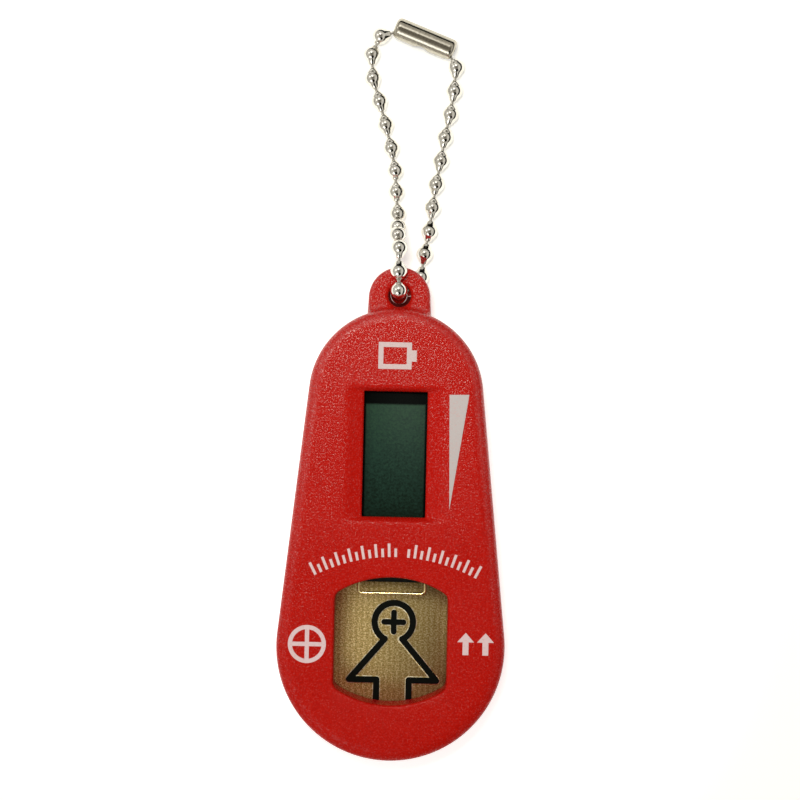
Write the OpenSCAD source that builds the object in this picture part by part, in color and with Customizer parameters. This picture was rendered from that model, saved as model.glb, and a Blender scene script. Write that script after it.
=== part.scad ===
// Key-ring button cell tester: housing, display, cell bay with wire contact, ball chain loop.
// Millimetres. The back lies on z = 0, +Z leaves the front face and +Y runs to the chain.
// The origin is the centre of the large round end, on the back face.

/* [Housing] */
// Radius of the large round end
round_end_r = 16.2; // [16:0.1:17]
// Radius of the small round end
lug_end_r = 12.4; // [12.2:0.1:13.2]
// Distance between the centres of the two round ends
end_span = 35.5; // [35.5:0.1:37]
// Thickness of the closed housing
body_t = 8.0; // [8:0.1:9.5]
// Thickness of the side walls
wall_t = 1.5; // [1.4:0.05:1.6]
// Thickness of the front wall
front_t = 1.5; // [1.4:0.05:1.6]
// Thickness of the back wall
floor_t = 1.2; // [1:0.05:1.25]
// Rounding of the front rim
front_edge_r = 1.4; // [0.4:0.1:1.4]
// Rounding of the back rim
back_edge_r = 0.8; // [0.3:0.1:1]
// Radius of the three screw pillars
pillar_r = 1.9; // [1.8:0.05:1.95]

/* [Lug] */
// Radius of the round lug tip
lug_r = 4.4; // [4.2:0.05:4.7]
// Half the width of the lug where it meets the housing
lug_root_r = 4.6; // [4.4:0.05:4.8]
// Thickness of the lug
lug_t = 2.8; // [2.4:0.1:2.8]
// Radius of the eye through the lug
eye_r = 1.6; // [1.6:0.05:1.8]

/* [Display] */
// Width of the display window
window_w = 9.0; // [8.6:0.1:9.6]
// Length of the display window
window_len = 17.8; // [17:0.05:18.2]
// Width of the hollowed frame around the window, at the front face
frame_w = 13.6; // [12.6:0.1:14]
// Depth of the hollowed frame at its middle
frame_depth = 1.27; // [0.9:0.01:1.3]

/* [Cell bay] */
// Width of the bay opening between its straight sides
bay_w = 16.0; // [15.6:0.1:16.4]
// Length of the bay opening between its two arcs
bay_len = 18.05; // [17.2:0.05:18.2]
// Radius of the two arcs
bay_arc_r = 14.2; // [13.6:0.1:15]
// Diameter of the wire contact
wire_d = 0.45; // [0.4:0.01:0.5]
// Outer width of the wire contact
wire_w = 9.9; // [9.4:0.1:10]
// Height of the wire bar above the contact plate
wire_lift = 1.6; // [1.5:0.05:1.8]

/* [Chain] */
// Radius of a chain bead
bead_r = 1.2; // [1.16:0.01:1.2]
// Wall thickness of a chain bead
bead_wall = 0.2; // [0.16:0.01:0.2]
// Radius of the holes in a bead
bead_hole_r = 0.45; // [0.45:0.01:0.47]
// Radius of the neck of a link pin
neck_r = 0.22; // [0.18:0.01:0.22]
// Longest distance between the centres of two linked beads
pitch_full = 3.5; // [3.5:0.01:3.54]
// Length of the coupling tube
coupling_len = 9.2; // [9.1:0.05:9.25]
// Outer radius of the coupling tube
coupling_r = 1.55; // [1.52:0.01:1.56]

/* [Hidden] */
$fn = 96;

shell_red = "#B8211F";
ink_white = "#E4D6DA";
gold = "#B79B52";
nickel = "#C9C4B4";
board_green = "#24402C";
cut = 1;                 // how far a cutter runs past the face it opens

// The outline: two round ends joined by their outer tangents
lean = asin((round_end_r - lug_end_r) / end_span);
side_len = end_span * cos(lean);
rim_w = 4;               // width of the rounded rim around the flat core
split_z = 4.0;           // parting line of the two shells
ceiling_z = body_t - front_t;
lip_h = 0.6;
lip_gap = 0.1;
lip_rise = 0.2;          // space above the lip

// The lug and its eye
lug_x = 0.2;             // the lug sits a little off the middle
lug_reach = 1.6;         // from the end wall to the centre of the round tip
lug_y = end_span + lug_end_r + lug_reach;
lug_root = 3.6;          // from there down to where half the width is lug_root_r
lug_bite = 0.4;          // how far the lug reaches into the end wall
lug_top = split_z + lug_t / 2;
eye_rise = 0.3;
eye_y = lug_y + eye_rise;
eye_break = 0.3;         // chamfer at both rims of the eye

// The stack from the back wall to the display
board_z = 2.2;
board_t = 0.8;
board_top = board_z + board_t;
board_gap = 0.3;
board_end_y = 39.5;
notch_gap = 0.2;
blob_y = 27;
blob_r = 4;
blob_step = 0.4;
capacitor_spots = [[-6.5, 17.5], [-2.5, 17.5], [6.5, 17.5]];
capacitor_size = [2.0, 1.25, 0.8];
resistor_first = [-7, 12];
resistor_step = 4;
resistor_count = 4;
resistor_size = [1.6, 0.8, 0.45];
pad_t = 0.1;
ink_t = 0.04;
foam_t = 1.1;
reflector_t = 0.2;
glass_t = 0.7;
polariser_t = 0.2;
rear_glass_z = board_top + foam_t + reflector_t;
front_glass_z = rear_glass_z + glass_t;
polariser_z = front_glass_z + glass_t;
pocket_play = 0.05;      // space above the polariser
pocket_top = polariser_z + polariser_t + pocket_play;

// The display window and its parts
window_mid_y = 27.25;
frame_slope = 0.55;      // run of the slanted end walls, from the face to the window edge
frame_drop = 0.75;       // their drop over that run
frame_r = (pow(frame_w / 2, 2) + pow(frame_depth, 2)) / (2 * frame_depth);
glass_w = 12;
glass_y = 16.9;
front_glass_len = 22.3;
rear_glass_len = 20.1;
film_in = 0.2;           // how far the films stay inside the glass
cushion_in = 0.5;
zebra_in = 0.4;
zebra_gap = 0.3;
zebra_len = 1.6;
pocket_gap = 0.15;
pocket_wall = 0.8;
holder_z = 3.6;

// The cell bay
bay_mid_y = 0.83;
skirt_t = 1.0;
skirt_gap = 0.1;         // above the contact plate
wire_gap_w = 13;         // the skirt is open over this width behind the wire
wire_gap_y = 6;
pad_margin = 0.9;
pad_end_y = 8.85;
pad_screw_gap = 0.35;

// The wire contact
wire_r = wire_d / 2;
bend_r = 0.6;
bar_y = 7.35;
foot_y = 13.0;
foot_z = board_top + wire_r;
foot_len = 1.2;
leg_x = wire_w / 2 - wire_r;
bar_z = board_top + pad_t + wire_lift;
wire_run_gap = 0.02;     // running fit of the feet in the solder
solder_r = 0.65;
solder_gap = 0.05;       // between the solder and the bend of the wire

// The screws: one behind the lug end, two beside the bay
screw_shank_r = 0.85;
screw_head_r = 1.5;
screw_head_t = 1.0;
screw_top_z = 6.0;
screw_seat_z = 1.4;
screw_fit = 0.02;
head_gap = 0.2;
shank_gap = 0.1;
cross_len = 1.8;
cross_w = 0.4;
cross_t = 0.55;
screw_turn = 32.4;
screw_edge = 0.5;        // between the pillars and the side wall
screw_reach = round_end_r - wall_t - pillar_r - screw_edge;
lug_screw_y = end_span + 7.7;
screw_spots = [[screw_reach * cos(180 + screw_turn), screw_reach * sin(180 + screw_turn)],
               [screw_reach * cos(-screw_turn), screw_reach * sin(-screw_turn)],
               [0, lug_screw_y]];
pillar_gap = 0.3;        // between the rear and front halves of a pillar
post_r = 1.0;
post_spots = [[8.8, 31], [11.3, 11], [4.5, -11.5]];

// The prints on the front face
print_t = 0.04;
wedge_points = [[7.55, 35.85], [10.35, 35.9], [7.87, 19.6]];
polarity_spot = [-11.8, 0.25];
polarity_r = 2.69;
polarity_line = 0.6;
arrow_spot = [12.0, 0.75];
arrow_step = 2.8;        // between the two arrows
cell_spot = [-0.25, 41.2];
tick_centre = [0.45, -11.7];
tick_r = 24.5;
tick_count = 27;
tick_step = 2.1;
tick_gap_at = 12;        // this tick is left out, so the arc falls into two groups
tick_w = 0.38;

// The sign on the contact plate
sign_x = 0.4;
sign_y = 3.1;
sign_line = 0.9;
sign_plus_line = 0.82;
sign_r = 2.75;
sign_gap_turn = 24;
sign_neck = [1.25, 0.68];
sign_barb = [6.25, -5.2];
sign_shaft = [2.33, -5.2];
sign_end_y = -8.4;

// The chain route, bead by bead, from the middle line level with the eye; most beads lie down
coupling_mid = [3.0, 37.25];
coupling_turn = -21.3;
coupling_wall = 0.28;
lip_t = 0.25;
lip_hole_r = 0.75;
coupling_edge_r = 0.4;
slot_w = 1.2;
slot_tilt = 25;
entry_r = 1.25;
end_inset = 1.3;         // from the end of the coupling to the centre of its bead
end_reach = coupling_len / 2 - end_inset;
end_step = end_reach * [cos(coupling_turn), sin(coupling_turn)];
lies = bead_r;
rises = 2.9;
nears = 5.2;
lug_gap = 0.15;
on_lug = lug_top + bead_r + lug_gap;
over_eye = lug_top + 0.7;
in_eye = 3.2;
route_unit = 1;          // what one step of the route measures
route_steps = [[-3.4, 37.6, lies], [-4.6, 34.95, lies], [-4.4, 31.5, lies], [-3.35, 28.2, lies],
               [-2.4, 24.85, lies], [-1.5, 21.5, lies], [-0.85, 18.25, lies],
               [-0.65, 15.2, lies], [-0.35, 12.05, lies], [-0.3, 10.0, rises],
               [-0.25, 8.7, nears], [0, 6.75, on_lug], [0, 3.4, on_lug], [0.05, 0.7, over_eye],
               [0.1, 0.1, in_eye], [1.45, 1.2, lies], [3.2, 2.95, lies], [3.65, 6.3, lies],
               [4.25, 9.55, lies], [4.65, 13.0, lies], [5.1, 16.4, lies], [5.7, 19.8, lies],
               [6.2, 23.15, lies], [6.9, 26.5, lies], [7.4, 29.9, lies], [7.6, 33.3, lies]];
route = concat([[coupling_mid.x - end_step.x, coupling_mid.y - end_step.y, coupling_r]],
               [for (step = route_steps) [route_unit * step.x, route_unit * step.y, step.z]],
               [[coupling_mid.x + end_step.x, coupling_mid.y + end_step.y, coupling_r]]);
last_bead = len(route) - 1;
eye_first = 9;           // first and last bead of the part of the chain that swings in the eye
eye_last = 20;
head_r = 0.5;
head_t = 0.12;
bead_inner_r = bead_r - bead_wall;
head_play = 0.026;       // between the pin heads and the bead walls
head_reach = sqrt(pow(bead_inner_r, 2) - pow(head_r, 2)) - head_play;
neck_len = pitch_full - 2 * head_reach;

// Shared shapes ---------------------------------------------------------------

// The housing outline, moved inwards
module outline(inset) {
    big = round_end_r - inset;
    small = lug_end_r - inset;
    circle(big);
    translate([0, end_span]) circle(small);
    polygon([[big * cos(lean), big * sin(lean)],
             [small * cos(lean), end_span + small * sin(lean)],
             [-small * cos(lean), end_span + small * sin(lean)],
             [-big * cos(lean), big * sin(lean)]]);
}

// A section between two radii, with rounded outer corners
module rim_section(r0, r, z0, z1, low_r, high_r) {
    translate([r0, z0 + low_r]) square([r - r0, z1 - z0 - low_r - high_r]);
    if (low_r > 0) {
        translate([r0, z0]) square([r - low_r - r0, low_r]);
        translate([r - low_r, z0 + low_r]) intersection() {
            circle(low_r);
            translate([0, -low_r]) square(low_r);
        }
    }
    if (high_r > 0) {
        translate([r0, z1 - high_r]) square([r - high_r - r0, high_r]);
        translate([r - high_r, z1 - high_r]) intersection() {
            circle(high_r);
            square(high_r);
        }
    }
}

// The housing as a solid slab: a rim with rounded edges around a flat core
module pebble(z0, z1, low_r, high_r) {
    rotate([0, 0, 180 - lean])
        rotate_extrude(angle = 180 + 2 * lean)
            rim_section(round_end_r - rim_w, round_end_r, z0, z1, low_r, high_r);
    translate([0, end_span, 0]) rotate([0, 0, lean])
        rotate_extrude(angle = 180 - 2 * lean)
            rim_section(lug_end_r - rim_w, lug_end_r, z0, z1, low_r, high_r);
    for (side = [0, 1])
        mirror([side, 0, 0]) rotate([0, 0, lean])
            translate([round_end_r, side_len, 0]) rotate([90, 0, 0]) linear_extrude(side_len)
                rim_section(-rim_w, 0, z0, z1, low_r, high_r);
    translate([0, 0, z0]) linear_extrude(z1 - z0) outline(rim_w / 2);
}

// The lug reaches part of the way into the end wall, so it stays clear of the lip
module lug_slab(z0, z1) {
    translate([0, 0, z0]) linear_extrude(z1 - z0) difference() {
        translate([lug_x, lug_y]) {
            circle(lug_r);
            polygon([[lug_r, 0], [-lug_r, 0], [-lug_root_r, -lug_root], [lug_root_r, -lug_root]]);
        }
        translate([0, end_span]) circle(lug_end_r - lug_bite);
    }
}

module eye_cut() {
    lug_bottom = split_z - lug_t / 2;
    translate([lug_x, eye_y, 0]) {
        cylinder(h = body_t, r = eye_r);
        translate([0, 0, lug_top - eye_break])
            cylinder(h = eye_break + cut, r1 = eye_r, r2 = eye_r + eye_break + cut);
        translate([0, 0, lug_bottom - cut])
            cylinder(h = eye_break + cut, r1 = eye_r + eye_break + cut, r2 = eye_r);
    }
}

// The barrel shape of the bay, grown by a margin
module bay_shape(margin) {
    half_len = bay_len / 2 + margin;
    arc_r = bay_arc_r + margin;
    translate([0, bay_mid_y]) intersection() {
        translate([-bay_w / 2 - margin, -half_len]) square([bay_w + 2 * margin, 2 * half_len]);
        translate([0, half_len - arc_r]) circle(arc_r);
        translate([0, arc_r - half_len]) circle(arc_r);
    }
}

module at_screws() {
    for (spot = screw_spots) translate([spot.x, spot.y, 0]) children();
}

module at_posts() {
    for (side = [-1, 1], spot = post_spots) translate([side * spot.x, spot.y, 0]) children();
}

// A plate given by its lower left corner on the Y axis
module plate(width, y0, len, z0, t) {
    translate([-width / 2, y0, z0]) cube([width, len, t]);
}

// A printed line with round ends
module line(from, to, w) {
    run = to - from;
    translate(from) rotate([0, 0, atan2(run.y, run.x)]) {
        translate([0, -w / 2]) square([norm(run), w]);
        circle(d = w);
        translate([norm(run), 0]) circle(d = w);
    }
}

module print_layer() {
    translate([0, 0, body_t]) linear_extrude(print_t) children();
}

// Housing ---------------------------------------------------------------------

module rear_shell() {
    color(shell_red) difference() {
        union() {
            difference() {
                union() {
                    pebble(0, split_z, back_edge_r, 0);
                    lug_slab(split_z - lug_t / 2, split_z);
                    translate([0, 0, split_z - cut]) linear_extrude(cut + lip_h)
                        outline(wall_t / 2 + lip_gap);
                }
                translate([0, 0, floor_t]) linear_extrude(body_t) outline(wall_t);
            }
            at_screws() translate([0, 0, floor_t / 2])
                cylinder(h = board_top - floor_t / 2, r = pillar_r);
            at_posts() translate([0, 0, floor_t / 2])
                cylinder(h = board_z - floor_t / 2, r = post_r);
        }
        eye_cut();
        at_screws() {
            translate([0, 0, -cut]) cylinder(h = screw_seat_z + cut, r = screw_head_r + head_gap);
            cylinder(h = body_t, r = screw_shank_r + shank_gap);
        }
    }
}

module front_shell() {
    color(shell_red) difference() {
        union() {
            difference() {
                union() {
                    pebble(split_z, body_t, 0, front_edge_r);
                    lug_slab(split_z, lug_top);
                }
                translate([0, 0, split_z - cut]) linear_extrude(ceiling_z - split_z + cut)
                    outline(wall_t);
                translate([0, 0, split_z - cut]) linear_extrude(cut + lip_h + lip_rise)
                    outline(wall_t / 2);
            }
            front_inner_parts();
        }
        eye_cut();
        frame_cut();
        window_cut();
        translate([0, 0, board_top]) linear_extrude(body_t) bay_shape(0);
        at_screws() cylinder(h = screw_top_z + shank_gap, r = screw_shank_r + screw_fit);
        plate(glass_w + 2 * pocket_gap, glass_y - pocket_gap, front_glass_len + 2 * pocket_gap,
              board_top, pocket_top - board_top);
    }
}

module front_inner_parts() {
    grip = front_t / 2;  // how far the inner parts reach into the front wall
    skirt_z = board_top + pad_t + skirt_gap;
    difference() {
        translate([0, 0, skirt_z]) linear_extrude(ceiling_z + grip - skirt_z) bay_shape(skirt_t);
        translate([-wire_gap_w / 2, wire_gap_y, board_top])
            cube([wire_gap_w, bay_len, ceiling_z - board_top]);
    }
    plate(glass_w + 2 * (pocket_gap + pocket_wall), glass_y - pocket_gap - pocket_wall,
          front_glass_len + 2 * (pocket_gap + pocket_wall), holder_z, ceiling_z + grip - holder_z);
    at_screws() translate([0, 0, board_top + pillar_gap])
        cylinder(h = ceiling_z + grip - board_top - pillar_gap, r = pillar_r);
    at_posts() translate([0, 0, board_top])
        cylinder(h = ceiling_z + grip - board_top, r = post_r);
}

// The hollowed frame: a shallow trough with slanted ends
module frame_cut() {
    y0 = window_mid_y - window_len / 2 - frame_slope;
    y1 = window_mid_y + window_len / 2 + frame_slope;
    intersection() {
        translate([0, y0 - cut, body_t - frame_depth + frame_r]) rotate([-90, 0, 0])
            cylinder(h = y1 - y0 + 2 * cut, r = frame_r);
        translate([-frame_w, 0, 0]) rotate([90, 0, 90]) linear_extrude(2 * frame_w)
            polygon([[y0 - frame_slope, body_t + frame_drop], [y1 + frame_slope, body_t + frame_drop],
                     [y1 - 2 * frame_slope, body_t - 2 * frame_drop],
                     [y0 + 2 * frame_slope, body_t - 2 * frame_drop]]);
    }
}

module window_cut() {
    plate(window_w, window_mid_y - window_len / 2, window_len, board_top, body_t);
}

module shell_screws() {
    color("#8E8E8A") at_screws() difference() {
        union() {
            translate([0, 0, screw_seat_z - screw_head_t])
                cylinder(h = screw_head_t, r = screw_head_r);
            translate([0, 0, screw_seat_z]) cylinder(h = screw_top_z - screw_seat_z, r = screw_shank_r);
        }
        for (turn = [0, 90]) rotate([0, 0, turn])
            translate([-cross_len / 2, -cross_w / 2, screw_seat_z - screw_head_t - cut])
                cube([cross_len, cross_w, cross_t + cut]);
    }
}

// Board and contacts ------------------------------------------------------------

module circuit_board() {
    notch_r = pillar_r + notch_gap;
    color(board_green) translate([0, 0, board_z]) linear_extrude(board_t) difference() {
        intersection() {
            outline(wall_t + board_gap);
            translate([-round_end_r, board_end_y - 2 * end_span])
                square([2 * round_end_r, 2 * end_span]);
        }
        for (spot = [screw_spots[0], screw_spots[1]])
            translate(spot) rotate([0, 0, atan2(spot.y, spot.x)]) {
                circle(notch_r);
                translate([0, -notch_r]) square([2 * pillar_r, 2 * notch_r]);
            }
    }
}

module contact_pad() {
    color(gold) translate([0, 0, board_top]) linear_extrude(pad_t) difference() {
        intersection() {
            bay_shape(pad_margin);
            translate([-bay_w, pad_end_y - 2 * bay_len]) square([2 * bay_w, 2 * bay_len]);
        }
        for (spot = screw_spots) translate(spot) circle(pillar_r + pad_screw_gap);
    }
}

module pad_marking() {
    color("#0E120E") translate([sign_x, 0, board_top + pad_t]) linear_extrude(ink_t) {
        difference() {
            translate([0, sign_y]) circle(sign_r + sign_line / 2);
            translate([0, sign_y]) circle(sign_r - sign_line / 2);
            translate([0, sign_y]) polygon([[0, 0],
                [-2 * sign_r * sin(sign_gap_turn), -2 * sign_r * cos(sign_gap_turn)],
                [2 * sign_r * sin(sign_gap_turn), -2 * sign_r * cos(sign_gap_turn)]]);
        }
        for (side = [0, 1]) mirror([side, 0]) {
            line(sign_neck, sign_barb, sign_line);
            line(sign_barb, sign_shaft, sign_line);
            line(sign_shaft, [sign_shaft.x, sign_end_y], sign_line);
        }
        for (turn = [0, 90])
            translate([0, sign_y]) rotate([0, 0, turn])
                line([-sign_r / 2, 0], [sign_r / 2, 0], sign_plus_line);
    }
}

// A quarter bend of the wire in the XY plane, from +X to +Y around its centre
module wire_bend() {
    rotate_extrude(angle = 90) translate([bend_r, 0]) circle(wire_r);
}

module contact_wire() {
    color(gold) {
        translate([-leg_x + bend_r, bar_y, bar_z]) rotate([0, 90, 0])
            cylinder(h = 2 * (leg_x - bend_r), r = wire_r);
        for (side = [0, 1]) mirror([side, 0, 0]) {
            translate([leg_x - bend_r, bar_y + bend_r, bar_z]) rotate([0, 0, -90]) wire_bend();
            translate([leg_x, bar_y + bend_r, bar_z]) rotate([-90, 0, 0])
                cylinder(h = foot_y - bar_y - 2 * bend_r, r = wire_r);
            translate([leg_x, foot_y - bend_r, bar_z - bend_r]) rotate([90, 0, 90]) wire_bend();
            translate([leg_x, foot_y, foot_z + bend_r])
                cylinder(h = bar_z - foot_z - 2 * bend_r, r = wire_r);
            translate([leg_x + bend_r, foot_y, foot_z + bend_r]) rotate([-90, 0, 180])
                mirror([0, 1, 0]) rotate([0, 0, 270]) wire_bend();
            translate([leg_x + bend_r, foot_y, foot_z]) rotate([0, 90, 0])
                cylinder(h = foot_len, r = wire_r);
        }
    }
}

module wire_solder() {
    color("#A9AAA6") for (side = [0, 1]) mirror([side, 0, 0]) difference() {
        intersection() {
            translate([leg_x + bend_r + solder_r + solder_gap, foot_y, foot_z]) sphere(solder_r);
            translate([0, foot_y - solder_r, board_top]) cube([2 * leg_x, 2 * solder_r, solder_r * 2]);
        }
        translate([leg_x, foot_y, foot_z]) rotate([0, 90, 0])
            cylinder(h = leg_x, r = wire_r + wire_run_gap);
    }
}

module chip_blob() {
    color("#121212") translate([0, blob_y, 0]) {
        translate([0, 0, board_z - blob_step]) cylinder(h = blob_step, r = blob_r);
        translate([0, 0, board_z - 2 * blob_step])
            cylinder(h = blob_step, r1 = blob_r - 2 * blob_step, r2 = blob_r);
    }
}

module capacitors() {
    color("#B9A27E") for (spot = capacitor_spots)
        translate([spot.x, spot.y, board_z - capacitor_size.z]) cube(capacitor_size);
}

module resistors() {
    color("#1C1C20") for (n = [0 : resistor_count - 1])
        translate([resistor_first.x + n * resistor_step, resistor_first.y, board_z - resistor_size.z])
            cube(resistor_size);
}

// Display ---------------------------------------------------------------------

module lcd_cushion() {
    color("#3A3A3A") plate(glass_w - 2 * cushion_in, glass_y + cushion_in,
                           rear_glass_len - 2 * cushion_in, board_top, foam_t);
}

module lcd_reflector() {
    color("#8C948C") plate(glass_w - 2 * film_in, glass_y + film_in, rear_glass_len - 2 * film_in,
                           board_top + foam_t, reflector_t);
}

module lcd_rear_glass() {
    color("#35463F") plate(glass_w, glass_y, rear_glass_len, rear_glass_z, glass_t);
}

module lcd_front_glass() {
    color("#35463F") plate(glass_w, glass_y, front_glass_len, front_glass_z, glass_t);
}

module lcd_polariser() {
    color("#2B3A33") plate(glass_w - 2 * film_in, glass_y + film_in, rear_glass_len + 2 * film_in,
                           polariser_z, polariser_t);
}

module zebra_strip() {
    color("#5A4A52") plate(glass_w - 2 * zebra_in, glass_y + rear_glass_len + zebra_gap, zebra_len,
                           board_top, front_glass_z - board_top);
}

// Prints on the front face ------------------------------------------------------

module level_wedge_print() {
    color(ink_white) print_layer() polygon(wedge_points);
}

module polarity_print() {
    color(ink_white) print_layer() translate(polarity_spot) {
        difference() {
            circle(polarity_r);
            circle(polarity_r - polarity_line);
        }
        for (turn = [0, 90]) rotate([0, 0, turn])
            translate([-polarity_r + polarity_line / 2, -polarity_line / 2])
                square([2 * polarity_r - polarity_line, polarity_line]);
    }
}

// Two plain arrows that say which way up the cell goes
module arrow_print() {
    head_w = 2.4;
    head_h = 1.35;
    shaft_w = 0.85;
    half_h = 1.58;
    color(ink_white) print_layer() for (side = [-1, 1])
        translate([arrow_spot.x + side * arrow_step / 2, arrow_spot.y])
            polygon([[0, half_h], [head_w / 2, half_h - head_h], [shaft_w / 2, half_h - head_h],
                     [shaft_w / 2, -half_h], [-shaft_w / 2, -half_h],
                     [-shaft_w / 2, half_h - head_h], [-head_w / 2, half_h - head_h]]);
}

// A plain outline of a cell with its raised pole
module cell_print() {
    cell_w = 4.7;
    cell_h = 3.8;
    pole_w = 0.7;
    pole_h = 1.6;
    stroke = 0.7;
    color(ink_white) print_layer() translate(cell_spot) {
        difference() {
            square([cell_w, cell_h], center = true);
            square([cell_w - 2 * stroke, cell_h - 2 * stroke], center = true);
        }
        translate([cell_w / 2, -pole_h / 2]) square([pole_w, pole_h]);
    }
}

// A plain arc of ticks over the bay in two groups, every other tick long
module tick_print() {
    long_h = 1.9;
    short_h = 1.2;
    color(ink_white) print_layer() translate(tick_centre)
        for (n = [0 : tick_count - 1])
            if (n != tick_gap_at) rotate([0, 0, (n - (tick_count - 1) / 2) * tick_step])
                translate([-tick_w / 2, tick_r]) square([tick_w, n % 2 == 0 ? long_h : short_h]);
}

// Chain -------------------------------------------------------------------------

// Turns +Z to a direction
module aim(way) {
    rotate([0, acos(way.z / norm(way)), atan2(way.y, way.x)]) children();
}

function way_out(i, j) = (j < 0 || j > last_bead) ? route[i] - route[2 * i - j] : route[j] - route[i];

// A hollow bead; its balls are turned so that no hole meets their poles or seams
module bead(i) {
    run = way_out(i, i + 1) - way_out(i, i - 1);
    translate([0, eye_y, 0]) translate(route[i]) difference() {
        aim(run) rotate([90, 0, 0]) difference() {
            sphere(bead_r);
            sphere(bead_inner_r);
        }
        for (j = [i - 1, i + 1]) aim(way_out(i, j)) cylinder(h = 2 * bead_r, r = bead_hole_r);
    }
}

// The pin between bead i and the next one: a neck with a flat head inside each bead
module link_pin(i) {
    translate([0, eye_y, 0]) translate((route[i] + route[i + 1]) / 2)
        aim(route[i + 1] - route[i]) {
            cylinder(h = neck_len + head_t, r = neck_r, center = true);
            for (side = [-1, 1]) translate([0, 0, side * (neck_len + head_t) / 2])
                cylinder(h = head_t, r = head_r, center = true);
        }
}

module eye_beads() {
    color(nickel) for (i = [eye_first : eye_last]) bead(i);
}

module eye_pins() {
    color(nickel) for (i = [eye_first : eye_last - 1]) link_pin(i);
}

// Row k of the loop: one bead on each side, and the pins that hang it on the row below
module row_beads(k) {
    color(nickel) {
        bead(eye_first - k);
        bead(eye_last + k);
    }
}

module row_pins(k) {
    color(nickel) {
        link_pin(eye_first - k);
        link_pin(eye_last + k - 1);
    }
}

module end_beads() {
    color(nickel) for (i = [0, 1, 2, last_bead]) bead(i);
}

module end_pins() {
    color(nickel) for (i = [0, 1, 2, last_bead - 1]) link_pin(i);
}

module coupling() {
    half = coupling_len / 2;
    color(nickel) translate([coupling_mid.x, eye_y + coupling_mid.y, coupling_r])
        rotate([0, 0, coupling_turn]) difference() {
            rotate([0, 90, 0]) rotate_extrude() difference() {
                rim_section(0, coupling_r, -half, half, coupling_edge_r, coupling_edge_r);
                translate([0, lip_t - half]) square([coupling_r - coupling_wall, 2 * (half - lip_t)]);
                translate([0, -half - cut]) square([lip_hole_r, coupling_len + 2 * cut]);
            }
            rotate([slot_tilt, 0, 0]) {
                translate([-coupling_len, -2 * coupling_r, -slot_w / 2])
                    cube([2 * coupling_len, 2 * coupling_r, slot_w]);
                rotate([90, 0, 0]) cylinder(h = 2 * coupling_r, r = entry_r);
            }
        }
}

rear_shell();
front_shell();
shell_screws();
circuit_board();
contact_pad();
pad_marking();
contact_wire();
wire_solder();
lcd_polariser();
lcd_front_glass();
lcd_rear_glass();
lcd_reflector();
lcd_cushion();
zebra_strip();
chip_blob();
capacitors();
resistors();
level_wedge_print();
polarity_print();
arrow_print();
cell_print();
tick_print();
eye_beads();
eye_pins();
row_beads(1);  // row1_beads
row_pins(1);  // row1_pins
row_beads(2);  // row2_beads
row_pins(2);  // row2_pins
row_beads(3);  // row3_beads
row_pins(3);  // row3_pins
row_beads(4);  // row4_beads
row_pins(4);  // row4_pins
row_beads(5);  // row5_beads
row_pins(5);  // row5_pins
row_beads(6);  // row6_beads
row_pins(6);  // row6_pins
end_beads();
end_pins();
coupling();
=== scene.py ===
# A key-ring tester for button cells: moulded red shells, a small display, a gold contact bay and a ball chain.
import bpy
import bmesh
import numpy as np
from functools import partial
from math import asin, atan2, cos, hypot, pi, radians, sin, sqrt, tan
from types import SimpleNamespace
from mathutils import Matrix, Quaternion, Vector
from mathutils.geometry import delaunay_2d_cdt


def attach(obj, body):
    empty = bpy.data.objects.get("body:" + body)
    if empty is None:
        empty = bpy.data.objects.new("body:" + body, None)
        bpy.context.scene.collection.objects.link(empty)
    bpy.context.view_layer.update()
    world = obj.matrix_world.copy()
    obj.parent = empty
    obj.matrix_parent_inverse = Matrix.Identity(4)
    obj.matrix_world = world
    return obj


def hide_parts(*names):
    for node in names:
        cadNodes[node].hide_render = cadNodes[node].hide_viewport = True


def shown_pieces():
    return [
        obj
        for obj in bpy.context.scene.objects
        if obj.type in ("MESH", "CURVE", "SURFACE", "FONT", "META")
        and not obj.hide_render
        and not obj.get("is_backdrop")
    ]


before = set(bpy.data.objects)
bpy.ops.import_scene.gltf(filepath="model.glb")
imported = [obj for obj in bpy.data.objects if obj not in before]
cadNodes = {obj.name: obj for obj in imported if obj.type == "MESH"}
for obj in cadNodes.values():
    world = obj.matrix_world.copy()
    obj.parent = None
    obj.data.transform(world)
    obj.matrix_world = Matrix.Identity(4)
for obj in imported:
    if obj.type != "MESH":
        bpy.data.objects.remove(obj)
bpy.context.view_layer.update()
mm = 0.001
up = Vector((0, 0, 1))


# small helpers for nodes and meshes

def toLinear(hexText):  # sRGB hex to the linear colour that sockets want
    channels = [int(hexText[i:i + 2], 16) / 255 for i in (1, 3, 5)]
    return [c / 12.92 if c <= 0.04045 else ((c + 0.055) / 1.055) ** 2.4 for c in channels] + [1.0]


def perMetre(sizeInMm):  # pattern scale for features of that size
    return 1 / (sizeInMm * mm)


wavePitch = 2 * pi / 20  # a wave texture repeats after this much of its scaled coordinate


def feed(node, inputs):  # inputs by name, or a list from the first on; a node stands for its first output
    for key, value in inputs.items() if isinstance(inputs, dict) else enumerate(inputs):
        if isinstance(value, bpy.types.Node):
            value = value.outputs[0]
        if isinstance(value, bpy.types.NodeSocket):
            node.id_data.links.new(value, node.inputs[key])
        else:
            node.inputs[key].default_value = value


def addNode(tree, kind, inputs=(), stops=(), **settings):
    node = tree.nodes.new("ShaderNode" + kind)
    for key, value in settings.items():
        setattr(node, key, value)
    if stops:  # a colour ramp: (place, hex) pairs
        elements = node.color_ramp.elements
        while len(elements) < len(stops):
            elements.new(0.5)
        for element, (place, colour) in zip(elements, stops):
            element.position = place
            element.color = toLinear(colour)
    feed(node, inputs)
    return node


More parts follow.
